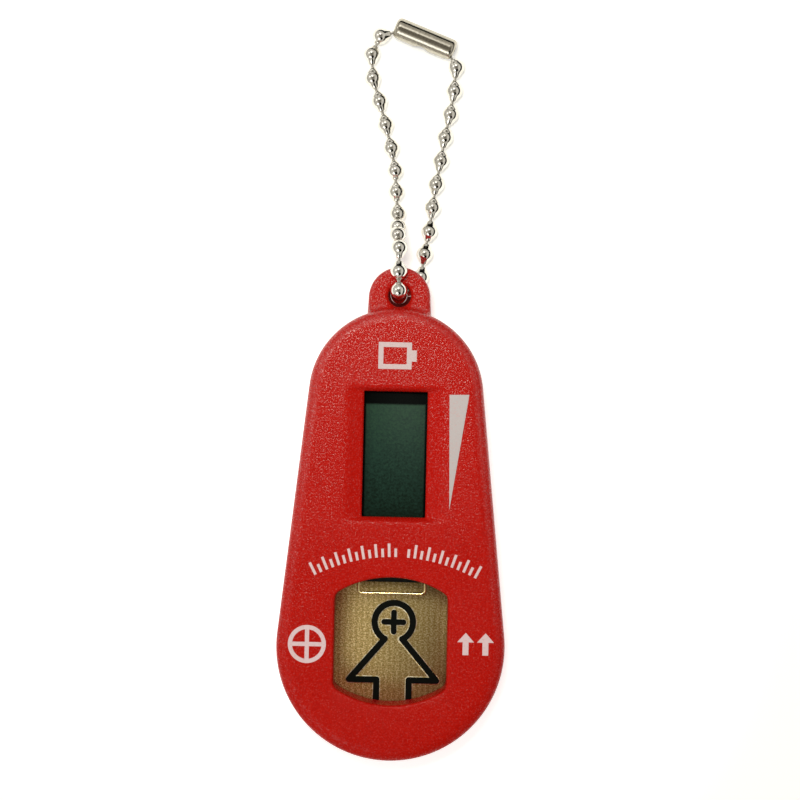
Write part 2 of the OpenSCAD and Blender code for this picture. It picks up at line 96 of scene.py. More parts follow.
def newMaterial(name, **surface):  # a Principled surface whose constant values sit on its own sockets
    material = bpy.data.materials.new(name)
    material.use_nodes = True
    shader = material.node_tree.nodes["Principled BSDF"]
    feed(shader, {key.replace("_", " "): value for key, value in surface.items()})
    add = partial(addNode, material.node_tree)
    return material, add, shader, add("TexCoord").outputs["Object"]


def speckled(name, dark, light, grainInMm, depthInMm, detail=3.0, harsh=0.6, places=(0.3, 0.7), **surface):
    # one tone broken up by its own grain, which stands up by the depth
    material, add, shader, place = newMaterial(name, **surface)
    grain = add("TexNoise", {"Vector": place, "Scale": perMetre(grainInMm), "Detail": detail, "Roughness": harsh})
    feed(shader, {"Base Color": add("ValToRGB", [grain], list(zip(places, (dark, light))))})
    if depthInMm:
        feed(shader, {"Normal": add("Bump", {"Height": grain, "Distance": depthInMm * mm})})
    return material


def striped(name, dark, light, stripeInMm, places, wander=0.0, **surface):
    # upright bands of two tones that also stand up a little
    material, add, shader, place = newMaterial(name, **surface)
    bands = add("TexWave", {
        "Vector": place, "Scale": perMetre(stripeInMm) * wavePitch, "Distortion": wander}).outputs["Fac"]
    feed(shader, {"Base Color": add("ValToRGB", [bands], list(zip(places, (dark, light)))),
                  "Normal": add("Bump", {"Height": bands, "Distance": 0.01 * mm})})
    return material


def addObject(name, data):
    item = bpy.data.objects.new(name, data)
    bpy.context.scene.collection.objects.link(item)
    return item


def addPiece(name, mesh, material, replaced=(), body="housing"):
    piece = addObject(name, mesh)
    mesh.name = name
    mesh.materials.append(material)
    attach(piece, body)
    if replaced:
        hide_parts(*replaced)
    return piece


def meshFrom(bm):
    bmesh.ops.recalc_face_normals(bm, faces=bm.faces)
    mesh = bpy.data.meshes.new("mesh")
    bm.to_mesh(mesh)
    bm.free()
    mesh.shade_smooth()
    return mesh


def softenedCopy(node, name, slotName, edge, material, segments=3):
    # the solid's own faces with their edges rounded off, as a mould or saw leaves them
    bm = bmesh.new()
    bm.from_mesh(cadNodes[node].data)
    bmesh.ops.remove_doubles(bm, verts=bm.verts, dist=0.0008 * mm)
    bmesh.ops.dissolve_limit(bm, angle_limit=radians(0.6), verts=bm.verts, edges=bm.edges)
    piece = addPiece(name, meshFrom(bm), material, [node])
    bevel = piece.modifiers.new("roundedEdges", "BEVEL")
    bevel.width = edge * mm
    bevel.segments = segments
    bevel.limit_method = "ANGLE"
    bevel.angle_limit = radians(38)
    bevel.harden_normals = True


def stitch(bm, loops, closed=True):  # bands of faces between loops that have as many points each
    for ring, after in zip(loops, loops[1:]):
        count = len(ring)
        for n in range(count if closed else count - 1):
            m = (n + 1) % count
            bm.faces.new((ring[n], ring[m], after[m], after[n]))


def insideLoop(spots, loop):  # which of the points lie inside a closed loop
    inside = np.zeros(len(spots), bool)
    x, y = spots[:, 0], spots[:, 1]
    for (x0, y0), (x1, y1) in zip(loop, np.roll(loop, -1, axis=0)):
        if y0 != y1:
            inside ^= ((y0 > y) != (y1 > y)) & (x < x0 + (y - y0) * (x1 - x0) / (y1 - y0))
    return inside


def withinRims(spots, rims):  # inside the first rim and outside the others
    wanted = insideLoop(spots, rims[0])
    for rim in rims[1:]:
        wanted &= ~insideLoop(spots, rim)
    return wanted


def fillRegion(bm, edges, freePoints=(), height=None):
    # triangles between the edge loops, over free points set at their height
    made = [vert for loop in edges for vert in loop]
    rims = [np.array([(v.co.x / mm, v.co.y / mm) for v in loop]) for loop in edges]
    flat = [Vector(p) for rim in rims for p in rim]
    border = []
    for loop in edges:
        first = len(border)
        border += [(first + n, first + (n + 1) % len(loop)) for n in range(len(loop))]
    free = np.array([(p[0], p[1]) for p in freePoints]).reshape(-1, 2)
    for p, good in zip(freePoints, withinRims(free, rims)):
        if good:
            made.append(bm.verts.new((p[0] * mm, p[1] * mm, (p[2] if len(p) > 2 else height(p[0], p[1])) * mm)))
            flat.append(Vector((p[0], p[1])))
    cut = delaunay_2d_cdt(flat, border, [], 0, 1e-6)
    spots, faces, origins = cut[0], cut[2], cut[3]
    middles = np.array([sum((spots[k] for k in face), Vector((0, 0))) / len(face) for face in faces])
    for face, good in zip(faces, withinRims(middles, rims)):
        a, b, c = (spots[k] for k in face)
        if good and abs((b - a).cross(c - a)) > 1e-5:  # slivers along a straight rim lie outside it
            bm.faces.new([made[origins[k][0]] for k in face])


def arcPoints(x, y, r, start, end, count):
    return [(x + r * cos(a), y + r * sin(a)) for a in (start + (end - start) * k / count for k in range(count))]


def circleLoop(spot, r, count=48):
    return arcPoints(spot[0], spot[1], r, 0, 2 * pi, count)


def runPoints(start, end, count):  # evenly spaced from the start on, the end left out
    return [tuple(a + (b - a) * k / count for a, b in zip(start, end)) for k in range(count)]


def heightAt(height, x, y):
    return height(x, y) if callable(height) else height


def loopAt(bm, points, height):
    return [bm.verts.new((x * mm, y * mm, heightAt(height, x, y) * mm)) for x, y in points]


def sectionRows(bm, loopFor, rows):  # one loop for each (inset, height) pair of a wall's section
    return [loopAt(bm, loopFor(inset), height) for inset, height in rows]


def lathe(bm, profile, turns, place):
    # profile: (radius, height) pairs; place turns a local point into a world point
    rings = [[bm.verts.new(place(Vector((x, y, height)))) for x, y in circleLoop((0, 0), radius, turns)]
             for radius, height in profile]
    stitch(bm, rings)
    return rings


# camera first: it looks straight down on the front, a little rolled

cameraLook = {
    "at": (0.575, 34.96, 304.0),  # mm
    "roll": 1.282,  # degrees
    "lens": 94.4, "sensor": 36,
}
cameraData = bpy.data.cameras.new("camera")
cameraData.lens, cameraData.sensor_width = cameraLook["lens"], cameraLook["sensor"]
cameraData.clip_start = 0.01
camera = addObject("camera", cameraData)
camera.location = Vector(cameraLook["at"]) * mm
camera.rotation_euler = (0, 0, radians(cameraLook["roll"]))
bpy.context.scene.camera = camera
bpy.context.scene.view_settings.view_transform = "Standard"
print("camera placed")


# housing: ABS, injection moulded in a spark-eroded tool, so it is satin with a fine sparkling grain

housingLook = {
    "red": "#B0130A", "redDeep": "#A61009", "redPale": "#B71F15",
    "grain": 0.27, "grainDepth": 0.055, "cloud": 7.0,  # mm
    "roughness": 0.28,
    "gloss": (0.02, 0.68),  # specular level in the pits and on the crests of the tool's finish
    "rubbed": (2.2, 0.42),  # gain and lift of the painted sheen on the rim towards the lug
    "rubbedY": (-10.0, 38.0), "rimX": (8.5, 9.5), "rimY": (40.5, 41.5), "eyeWall": (2.1, 2.5),  # mm, none to full
}
shape = {  # mm, as in the solids, and the softness of each edge
    "bigR": 16.2, "smallR": 12.4, "span": 35.5, "top": 8.0, "split": 4.0, "wall": 1.5, "ceiling": 6.5, "floor": 1.2,
    "frontEdge": 1.4, "frontEdgeWidth": 2.1, "backEdge": 0.8, "seamEdge": 0.1, "frontLip": 0.8, "rearLip": 0.6,
    "lugX": 0.2, "lugY": 49.5, "lugR": 4.4, "lugRootR": 4.6, "lugRootDrop": 3.6, "lugBite": 0.7,
    "lugLow": 2.6, "lugTop": 5.4, "lugEdge": 0.6, "lugRoot": 0.9,
    "eyeY": 49.8, "eyeR": 1.6, "eyeEdge": 0.5,
    "windowW": 9.0, "windowLen": 17.8, "windowY": 27.25, "windowEdge": 0.2, "windowCorner": 0.15,
    "troughW": 13.6, "troughDepth": 1.27, "troughRun": 0.55, "troughDrop": 0.75, "troughSoft": 0.3, "mesh": 0.2,
    "pocketX": 6.15, "pocketY0": 16.75, "pocketY1": 39.35, "pocketTop": 5.95, "pocketLow": 3.6, "pocketWall": 0.8,
    "bayW": 16.0, "bayLen": 18.05, "bayArc": 14.2, "bayY": 0.83, "bayEdge": 0.4, "skirtLow": 3.2, "skirtWall": 1.0,
    "gapX": 6.5, "gapY": 6.0,
    "screwTurn": 32.4, "screwReach": 12.3, "screwY": 43.2, "headR": 1.7, "headEdge": 0.15, "shankR": 0.95,
    "seat": 1.4, "pillarR": 1.9, "pillarLow": 3.3, "boreR": 0.87, "boreTop": 6.1, "boardTop": 3.0, "bevel": 0.1,
}
s = SimpleNamespace(**shape)


def mouldedAbsRed():
    # coloured right through; the grain catches the light as pale specks and breaks up every highlight
    look = SimpleNamespace(**housingLook)
    material, add, shader, place = newMaterial("ABS red, spark-eroded satin", IOR=1.5, Roughness=look.roughness)
    grain = add("TexNoise", {"Vector": place, "Scale": perMetre(look.grain), "Detail": 3.0, "Roughness": 0.65})
    cloud = add("TexNoise", {"Vector": place, "Scale": perMetre(look.cloud)})
    mixed = add("Math", [cloud, 0.15, grain], operation="MULTIPLY_ADD")
    colour = add("ValToRGB", [mixed], [
        (0.44, look.redDeep), (0.56, look.red), (0.64, look.red), (0.76, look.redPale)])
    fine = add("TexNoise", {"Vector": place, "Scale": perMetre(look.grain * 0.8), "Roughness": 0.6})
    crests = add("MapRange", [fine, 0.51, 0.69, *look.gloss])
    # painted sheen: the gloss is raised on the rim towards the lug, in pale flecks where the grain's crests catch the
    # light
    facing = add("SeparateXYZ", [add("NewGeometry").outputs["Normal"]])
    tilt = add("Math", [facing.outputs["Z"]], operation="ABSOLUTE")
    upright = add("MapRange", [tilt, 0.0, 0.4, 0.25, 1.0])  # less painted sheen on the steep sides
    rounded = add("MapRange", [tilt, 0.995, 0.94, 0.0, upright])  # from 6 to 20 degrees off level
    x, y = add("SeparateXYZ", [place]).outputs[:2]
    sheenTowardsLug = add("MapRange", [y, *(v * mm for v in look.rubbedY)])
    across = add("Math", [x], operation="ABSOLUTE")
    beside = add("MapRange", [across, *(v * mm for v in look.rimX)])
    above = add("MapRange", [y, *(v * mm for v in look.rimY)])
    outer = add("Math", [beside, above], operation="MAXIMUM")
    flat = add("VectorMath", [place, (1.0, 1.0, 0.0)], operation="MULTIPLY")
    eyeGap = add("VectorMath", [flat, (s.lugX * mm, s.eyeY * mm, 0.0)], operation="DISTANCE")
    sheenClearOfEye = add("MapRange", [  # no painted sheen on the wall of the eye
        eyeGap.outputs["Value"], *(v * mm for v in look.eyeWall), 0.0, sheenTowardsLug])
    rim = add("Math", [rounded, outer], operation="MULTIPLY")
    rubbed = add("Math", [rim, sheenClearOfEye], operation="MULTIPLY")
    flecks = add("Math", [rubbed, look.rubbed[0], 1.0], operation="MULTIPLY_ADD")
    gloss = add("Math", [crests, flecks], operation="MULTIPLY")
    feed(shader, {
        "Base Color": colour,
        "Specular IOR Level": add("Math", [rubbed, look.rubbed[1], gloss], operation="MULTIPLY_ADD"),
        "Roughness": add("MapRange", [grain, 0.35, 0.7, look.roughness - 0.06, look.roughness + 0.08]),
        "Normal": add("Bump", {"Height": grain, "Distance": look.grainDepth * mm})})
    return material


absRed = mouldedAbsRed()
lean = asin((s.bigR - s.smallR) / s.span)
screwSpots = [(s.screwReach * cos(radians(a)), s.screwReach * sin(radians(a)))
              for a in (180 + s.screwTurn, -s.screwTurn)] + [(0.0, s.screwY)]


def outlineLoop(inset):  # the housing outline moved inwards, always with as many points
    big, small = s.bigR - inset, s.smallR - inset
    corners, ends = ([(r * cos(a), y + r * sin(a)) for a in (lean, pi - lean)] for r, y in ((big, 0), (small, s.span)))
    return (runPoints(corners[0], ends[0], 40) + arcPoints(0, s.span, small, lean, pi - lean, 96)
            + runPoints(ends[1], corners[1], 40) + arcPoints(0, 0, big, pi - lean, 2 * pi + lean, 160))


def outlineDepth(x, y):  # how far inside the outline a point lies
    x = abs(x)
    b = (s.bigR - s.smallR) / s.span
    a = sqrt(1 - b * b)
    k = -b * x + a * y
    if k < 0:
        return s.bigR - hypot(x, y)
    if k > a * s.span:
        return s.smallR - hypot(x, y - s.span)
    return s.bigR - (a * x + b * y)


def boxLoop(half, y0, y1, corner):  # a rectangle with round corners, its sides in short steps
    reach, low, high = half - corner, y0 + corner, y1 - corner
    loop = []
    for k, (x, y) in enumerate(((reach, high), (-reach, high), (-reach, low), (reach, low))):
        end = (k + 1) * pi / 2
        loop += arcPoints(x, y, corner, k * pi / 2, end, 6) + [(x + corner * cos(end), y + corner * sin(end))]
    full = []
    for n, point in enumerate(loop):  # seven points to a corner, then a side
        full += runPoints(point, loop[(n + 1) % len(loop)], 26 if n % 7 == 6 else 1)
    return full


def bayLoop(margin):  # straight sides and two shallow arcs, the corners a little eased
    w, half, arc = s.bayW / 2 + margin, s.bayLen / 2 + margin, s.bayArc + margin
    spread = asin(w / arc)
    cornerY = half - arc + arc * cos(spread)
    loop = []
    for flip in (1, -1):
        loop += [(flip * arc * sin(a), flip * (half - arc + arc * cos(a)))
                 for a in (spread - 2 * spread * k / 60 for k in range(60))]
        loop += [(-flip * w, flip * (cornerY - 2 * cornerY * k / 40)) for k in range(40)]
    for again in range(6):
        loop = [tuple(0.25 * p + 0.5 * q + 0.25 * r for p, q, r in zip(*spots))
                for spots in zip(loop[-1:] + loop, loop, loop[1:] + loop[:1])]
    return [(x, y + s.bayY) for x, y in loop]


def windowLoop(margin):
    end = s.windowLen / 2
    return boxLoop(s.windowW / 2 + margin, s.windowY - end - margin, s.windowY + end + margin, s.windowCorner + margin)


def pocketLoop(out):  # around the display, on the inside and the outside of the pocket's wall
    return boxLoop(s.pocketX + out, s.pocketY0 - out, s.pocketY1 + out, 0.4 if out else 0.1)


def softMin(a, b, k):
    h = max(0.0, min(1.0, 0.5 + 0.5 * (b - a) / k))
    return b + (a - b) * h - k * h * (1 - h)


def frontHeight(x, y):  # the flat face with the shallow trough around the window
    radius = (s.troughW ** 2 / 4 + s.troughDepth ** 2) / (2 * s.troughDepth)
    across = s.troughDepth - radius + sqrt(max(0.0, radius ** 2 - min(abs(x), radius) ** 2))
    end = s.windowLen / 2 + s.troughRun
    along = (end - abs(y - s.windowY)) * s.troughDrop / s.troughRun
    cut = softMin(across, along, s.troughSoft * 2)
    return s.top + softMin(0.0, -cut, s.troughSoft)


def roundedRows(loopFor, edge, count, height, sign=1, width=None):
    # free points down a rounded edge, from its tangent to just short of its foot
    turns = [pi / 2 * k / count for k in range(count)]
    return [(x, y, heightAt(height, x, y) - sign * edge * (1 - cos(a)))
            for a in turns for x, y in loopFor((width or edge) * (1 - sin(a)))]


def seamRows(sign=1):  # the small edge where the shells meet
    return [(0, s.split + sign * s.seamEdge), (s.seamEdge * 0.3, s.split + sign * s.seamEdge * 0.3)]


def frontShellMesh():
    bm = bmesh.new()
    outer = loopAt(bm, outlineLoop(0), s.top - s.frontEdge)
    bay = loopAt(bm, bayLoop(0), s.top - s.bayEdge)
    window = loopAt(bm, windowLoop(0), lambda x, y: frontHeight(x, y) - s.windowEdge)
    free = roundedRows(outlineLoop, s.frontEdge, 14, s.top, width=s.frontEdgeWidth)
    free += roundedRows(bayLoop, s.bayEdge, 6, s.top) + roundedRows(windowLoop, s.windowEdge, 5, frontHeight)
    # an even grid over the trough, clear of the window and the rim
    reachX, reachY = s.troughW / 2 + 0.5, s.windowLen / 2 + s.troughRun + 0.5
    clearX, clearY = s.windowW / 2 + s.windowEdge + 0.08, s.windowLen / 2 + s.windowEdge + 0.08
    grid = [(-reachX + i * s.mesh, -reachY + j * s.mesh)
            for i in range(int(2 * reachX / s.mesh) + 1) for j in range(int(2 * reachY / s.mesh) + 1)]
    free += [(x, s.windowY + y) for x, y in grid if (abs(x) > clearX or abs(y) > clearY)
             and outlineDepth(x, s.windowY + y) > s.frontEdgeWidth + 0.1]
    fillRegion(bm, [outer, bay, window], free, frontHeight)
    # outside wall, seam edge, the step for the lip, inside wall
    lip = s.split + s.frontLip
    walls = [outer] + sectionRows(bm, outlineLoop, seamRows() + [
        (s.seamEdge, s.split), (s.wall / 2, s.split), (s.wall / 2, lip), (s.wall, lip), (s.wall, s.ceiling)])
    stitch(bm, walls)
    # window wall, the ledge over the glass, the pocket walls
    glass = [window, loopAt(bm, windowLoop(0), s.pocketTop)] + sectionRows(bm, pocketLoop, (
        (0, s.pocketTop), (0, s.pocketLow), (s.pocketWall, s.pocketLow), (s.pocketWall, s.ceiling)))
    stitch(bm, glass)

    def skirtFoot(x, y):  # open behind the wire
        return s.ceiling - 0.02 if y > s.gapY and abs(x) < s.gapX else s.skirtLow

    skirt = [bay] + sectionRows(bm, bayLoop, (
        (0, lambda x, y: skirtFoot(x, y) + s.bevel), (s.bevel, skirtFoot), (s.skirtWall, skirtFoot),
        (s.skirtWall, s.ceiling)))
    stitch(bm, skirt)
    fillRegion(bm, [walls[-1], glass[-1], skirt[-1]])
    for spot in screwSpots:  # pillars, let into the ceiling
        pillar = sectionRows(bm, lambda r: circleLoop(spot, r), (
            (s.pillarR, s.ceiling + 0.3), (s.pillarR, s.pillarLow + s.bevel), (s.pillarR - s.bevel, s.pillarLow),
            (s.boreR, s.pillarLow), (s.boreR, s.boreTop)))
        stitch(bm, pillar)
        bm.faces.new(pillar[0])
        bm.faces.new(pillar[-1])
    lugHalf(bm, s.lugTop)
    return closedMesh(bm, "frontShell")


def lugHalf(bm, faceZ):
    # half of the lug: its face is eased at the rim and the eye and runs up into the end wall
    sign = 1 if faceZ > s.split else -1
    root = s.smallR - s.lugBite

    def sideRun(inset, side):  # from the end wall up to the round tip
        r = s.lugR - inset
        spread = (s.lugRootR - s.lugR) / s.lugRootDrop
        y = s.lugY
        for again in range(6):
            x = s.lugX + side * (r + (s.lugY - y) * spread)
            y = s.span + sqrt(root ** 2 - x ** 2)
        return runPoints((x, y), (s.lugX + side * r, s.lugY), 16)

    def tipRun(inset):
        around = arcPoints(s.lugX, s.lugY, s.lugR - inset, 0, pi, 64)
        return sideRun(inset, 1) + around + [(s.lugX - s.lugR + inset, s.lugY)] + sideRun(inset, -1)[:0:-1]

    def rimLoop(inset):
        start, end = (atan2(y - s.span, x) for x, y in (sideRun(inset, -1)[0], sideRun(inset, 1)[0]))
        return tipRun(inset) + arcPoints(0, s.span, root, start, end, 32)

    def eyeLoop(margin):
        return circleLoop((s.lugX, s.eyeY), s.eyeR + margin, 64)

    def faceHeight(x, y):  # the face rises in a fillet to the end wall
        off = -outlineDepth(x, y)
        rise = 0.0
        if off < s.lugRoot:
            rise = s.lugRoot - sqrt(max(0.0, s.lugRoot ** 2 - (s.lugRoot - max(off, 0.0)) ** 2))
        return faceZ + sign * rise * 0.9

    free = [p for p in roundedRows(tipRun, s.lugEdge, 7, faceHeight, sign)
            if hypot(p[0], p[1] - s.span) > root + 0.05]
    free += roundedRows(eyeLoop, s.eyeEdge, 6, faceHeight, sign)
    for ring in range(1, 12):  # rows that follow the end wall, so the root rounds off cleanly
        r = s.smallR + s.lugRoot * 1.1 * ring / 11
        for k in range(61):
            x = -4 + 8 * k / 60
            y = s.span + sqrt(r * r - x * x)
            if hypot(x - s.lugX, y - s.eyeY) > s.eyeR + s.eyeEdge + 0.1:
                free.append((x, y))
    walls = [[loopAt(bm, loopFor(0), lambda x, y: faceHeight(x, y) - sign * edge)]
             for loopFor, edge in ((rimLoop, s.lugEdge), (eyeLoop, s.eyeEdge))]
    fillRegion(bm, [wall[0] for wall in walls], free, faceHeight)
    for wall, loopFor in zip(walls, (rimLoop, eyeLoop)):
        wall += sectionRows(bm, loopFor, seamRows(sign) + [(s.seamEdge, s.split + sign * 0.002)])
        stitch(bm, wall)
    fillRegion(bm, [wall[-1] for wall in walls])


def rearShellMesh():
    bm = bmesh.new()
    free = roundedRows(outlineLoop, s.backEdge, 8, 0, -1)
    outer = loopAt(bm, outlineLoop(0), s.backEdge)
    wells = []
    for spot in screwSpots:
        free += roundedRows(lambda margin: circleLoop(spot, s.headR + margin), s.headEdge, 4, 0, -1)
        wells.append(loopAt(bm, circleLoop(spot, s.headR), s.headEdge))
    fillRegion(bm, [outer] + wells, free)
    inner, lip = s.wall / 2 + s.bevel, s.split + s.rearLip
    walls = [outer] + sectionRows(bm, outlineLoop, seamRows(-1) + [
        (s.seamEdge, s.split), (inner, s.split), (inner, lip - s.bevel), (inner + s.bevel, lip), (s.wall, lip),
        (s.wall, s.floor)])
    stitch(bm, walls)
    feet = []
    for spot, well in zip(screwSpots, wells):
        bore = [well] + sectionRows(bm, lambda r: circleLoop(spot, r), (
            (s.headR, s.seat), (s.shankR, s.seat), (s.shankR, s.boardTop), (s.pillarR - s.bevel, s.boardTop),
            (s.pillarR, s.boardTop - s.bevel), (s.pillarR, s.floor)))
        stitch(bm, bore)
        feet.append(bore[-1])
    fillRegion(bm, [walls[-1]] + feet)
    lugHalf(bm, s.lugLow)
    return closedMesh(bm, "rearShell")


def closedMesh(bm, name):
    bmesh.ops.remove_doubles(bm, verts=bm.verts, dist=0.00002 * mm)
    bmesh.ops.delete(bm, geom=[v for v in bm.verts if not v.link_faces], context="VERTS")
    print(name, "open edges:", sum(1 for e in bm.edges if not e.is_manifold), "faces:", len(bm.faces))
    mesh = meshFrom(bm)
    mesh.set_sharp_from_angle(angle=radians(40))
    return mesh


addPiece("rearShell", rearShellMesh(), absRed, ["rear_shell"])
addPiece("frontShell", frontShellMesh(), absRed, ["front_shell"])
print("shells moulded")


# pad-printed ink: a thin matt film that lets a trace of the grain through

inkLook = {  # thin and full coats
    "wide": ("#BF9E9E", "#B6AEAF"), "outline": ("#C09EA0", "#C6B2B4"), "fine": ("#CFA3A6", "#D8BEC1"),
    "black": ("#090C07", "#060805"), "roughness": 0.5,
}


def padPrintedInk(name, coats, gloss=0.4):  # matt, with the red just showing where the coat is thin
    return speckled(name, *coats, 0.22, 0.006, 3.0, 0.65, (0.30, 0.46), IOR=1.48, Roughness=inkLook["roughness"],
                    Specular_IOR_Level=gloss)


for ink, printNames in (
        (padPrintedInk("epoxy ink grey-white, thin wide coat", inkLook["wide"]), ["level_wedge_print"]),
        (padPrintedInk("epoxy ink off-white, pad printed", inkLook["outline"]), ["cell_print"]),
        (padPrintedInk("epoxy ink off-white, thick fine lines", inkLook["fine"]),
         ["polarity_print", "arrow_print", "tick_print"]),
        (padPrintedInk("epoxy ink black, screen printed", inkLook["black"], 0.05), ["pad_marking"])):
    for printName in printNames:
        for materialSlot in cadNodes[printName].material_slots:
            materialSlot.material = ink
print("prints dressed")


# contact bay: glass-epoxy board, gold-plated copper over its weave, and the wire contact

bayLook = {
    "gold": "#B2995C", "goldDark": "#927B46", "goldLight": "#D9C998",
    "worn": (0.84, 1.68), "wornX": (6.0, -8.0),  # painted light: the plating is brightened towards the left, mostly to lift the shade of the bay's left wall
    "halo": "#EFE6C6", "haloWidth": 0.13,  # mm, a painted highlight: a pale gold strip along each side of the sign
    "bend": 2.4, "bendBy": 0.3,  # mm, how the yarns wander
    "rib": 0.8,  # mm, pitch of the glass yarns under the plating
    "grit": 0.22,  # mm
    "roughness": 0.48,
    "mask": ("#070B08", "#0E1A12"), "maskWeave": 1.2,
}


def goldOverWeave():
    # hard gold on copper foil over woven glass: a dull brassy sheen with faint upright ribs and gritty flecks
    look = SimpleNamespace(**bayLook)
    material, add, shader, place = newMaterial(
        "gold plated copper, dull over glass weave", Metallic=0.75, Roughness=look.roughness)
    bend = add("TexNoise", {"Vector": place, "Scale": perMetre(look.bend)})
    shifted = add("VectorMath", [bend.outputs["Color"], (look.bendBy * mm, look.bendBy * mm, 0.0), place],
                  operation="MULTIPLY_ADD")
    ribs, yarns = (add("TexWave", {"Vector": shifted, "Scale": perMetre(pitch) * wavePitch}, bands_direction=way)
                   .outputs["Fac"] for way, pitch in (("X", look.rib), ("Y", look.rib * 0.6)))
    grit = add("TexNoise", {"Vector": place, "Scale": perMetre(look.grit), "Detail": 3.0, "Roughness": 0.7})
    weave = add("Math", [yarns, 0.3, ribs], operation="MULTIPLY_ADD")
    height = add("Math", [weave, 0.06, grit], operation="MULTIPLY_ADD")
    tone = add("ValToRGB", [height], [(0.40, look.goldDark), (0.54, look.gold), (0.66, look.goldLight)])
    # painted light: the tone is brightened towards the left of the pad
    across = add("SeparateXYZ", [place]).outputs["X"]
    left = add("MapRange", [across, *(v * mm for v in look.wornX), *look.worn])
    feed(shader, {"Base Color": add("VectorMath", {0: tone, "Scale": left}, operation="SCALE"),
                  "Normal": add("Bump", {"Height": height, "Distance": 0.03 * mm})})
    return material


# two-part epoxy mask over glass cloth: very dark green, slightly wavy gloss
solderMask = striped("epoxy solder mask on glass laminate", *bayLook["mask"], bayLook["maskWeave"], (0.2, 0.9), 1.0,
                     IOR=1.55, Roughness=0.35, Specular_IOR_Level=0.25)
softenedCopy("circuit_board", "circuitBoard", "board_laminate", 0.05, solderMask, 2)
softenedCopy("contact_pad", "contactPad", "gold_plate", 0.02, goldOverWeave(), 2)

signLook = {
    "x": 0.4, "y": 3.1, "r": 2.75, "line": 0.9, "plusLine": 0.82, "gapTurn": 24.0,
    "neck": (1.25, 0.68), "barb": (6.25, -5.2), "shaft": (2.33, -5.2), "foot": (2.33, -8.4),
    "low": 3.1, "high": 3.115,  # mm, from the plate to a little below the ink's face
}


def ribbonLoop(path, width):  # the outline of a stroke with round ends along a smooth run of points
    spots = [Vector(p) for p in path]
    ways = [(b - a).normalized() for a, b in zip(spots, spots[1:])]
    ways = [ways[0]] + [(a + b).normalized() for a, b in zip(ways, ways[1:])] + [ways[-1]]
    left, right = ([p + Vector((-w.y, w.x)) * side * width / 2 for p, w in zip(spots, ways)] for side in (1, -1))
    start, turn = (atan2(w.y, w.x) for w in (ways[0], ways[-1]))
    tip = arcPoints(*spots[-1], width / 2, turn - pi / 2, turn + pi / 2, 10)[1:-1]
    tail = arcPoints(*spots[0], width / 2, start + pi / 2, start + pi * 1.5, 10)[1:-1]
    return [tuple(p) for p in right] + tip + [tuple(p) for p in left[::-1]] + tail


def haloMesh():
    # strokes a little wider than the sign's, so a painted highlight, a pale strip, shows along each of its sides
    k = SimpleNamespace(**signLook)
    half = k.r / 2
    strokes = [(arcPoints(0, k.y, k.r, radians(k.gapTurn - 90), radians(270 - k.gapTurn), 64), k.line),
               ([(-half, k.y), (half, k.y)], k.plusLine), ([(0, k.y - half), (0, k.y + half)], k.plusLine)]
    for side in (1, -1):
        bends = [(x * side, y) for x, y in (k.neck, k.barb, k.shaft, k.foot)]
        strokes += [([a, b], k.line) for a, b in zip(bends, bends[1:])]
    bm = bmesh.new()
    for n, (path, line) in enumerate(strokes):
        wide = line + 2 * bayLook["haloWidth"]
        lift = 0.0004 * n  # no two faces at one height
        loops = [loopAt(bm, [(x + k.x, y) for x, y in ribbonLoop(path, wide - cut)], z + lift)
                 for cut, z in ((0, k.low - 0.02), (0, k.high - 0.006), (0.014, k.high))]
        stitch(bm, loops)
        fillRegion(bm, [loops[-1]])
    return meshFrom(bm)


# painted highlight: paler gold beside the ink stands for the light caught along its edges as a thin pale line
paintedEdgeHighlight = speckled("gold plated copper, bright edge of the ink", bayLook["gold"], bayLook["halo"], 0.5, 0.01,
                      3.0, 0.7, (0.38, 0.58), Metallic=0.8, Roughness=0.4)
addPiece("markingHalo", haloMesh(), paintedEdgeHighlight)

wireLook = {
    "gold": ("#E3C883", "#F7E7B4"), "drawLines": 0.12,
    "radius": 0.225, "legX": 4.725, "barY": 7.35, "barZ": 4.7, "footY": 13.0, "footZ": 3.225,
    "bend": 0.6, "footOut": 1.8,  # mm
}


def roundCorner(before, corner, after, radius, steps=8):
    # points of a fillet between two straight runs
    inWay, outWay = (before - corner).normalized(), (after - corner).normalized()
    half = inWay.angle(outWay) / 2
    reach = radius / tan(half)
    centre = corner + (inWay + outWay).normalized() * radius / sin(half)
    start, end = corner + inWay * reach - centre, corner + outWay * reach - centre
    turn = start.rotation_difference(end)
    return [centre + Quaternion().slerp(turn, k / steps) @ start for k in range(steps + 1)]


def sweepTube(bm, path, radius, turns=20):
    # a closed tube along the path, with rounded ends
    way = (path[1] - path[0]).normalized()
    side = way.orthogonal().normalized()
    last = len(path) - 1
    roundEnds = {0: [(-0.5, 0.55), (-0.15, 0.9), (0, 1)], last: [(0, 1), (0.15, 0.9), (0.5, 0.55)]}
    rings = []
    for k, point in enumerate(path):
        ahead = (path[min(k + 1, last)] - path[max(k - 1, 0)]).normalized()
        side = (way.rotation_difference(ahead) @ side).normalized()
        way = ahead
        for inset, shrink in roundEnds.get(k, [(0, 1)]):
            middle = point + way * inset * radius
            rings.append([bm.verts.new(middle + (side * x + way.cross(side) * y) * radius * shrink)
                          for x, y in circleLoop((0, 0), 1, turns)])
    stitch(bm, rings)
    bm.faces.new(rings[0][::-1])
    bm.faces.new(rings[-1])


def wirePath():
    w = SimpleNamespace(**wireLook)
    right = [(w.legX + w.footOut, w.footY, w.footZ), (w.legX, w.footY, w.footZ), (w.legX, w.footY, w.barZ),
             (w.legX, w.barY, w.barZ)]
    corners = [Vector(p) * mm for p in [(-x, y, z) for x, y, z in right] + right[::-1]]
    path = [corners[0]]
    for before, corner, after in zip(corners, corners[1:], corners[2:]):
        path += roundCorner(before, corner, after, w.bend * mm)
    return path + [corners[-1]]


wireMesh = bmesh.new()
sweepTube(wireMesh, wirePath(), wireLook["radius"] * mm)
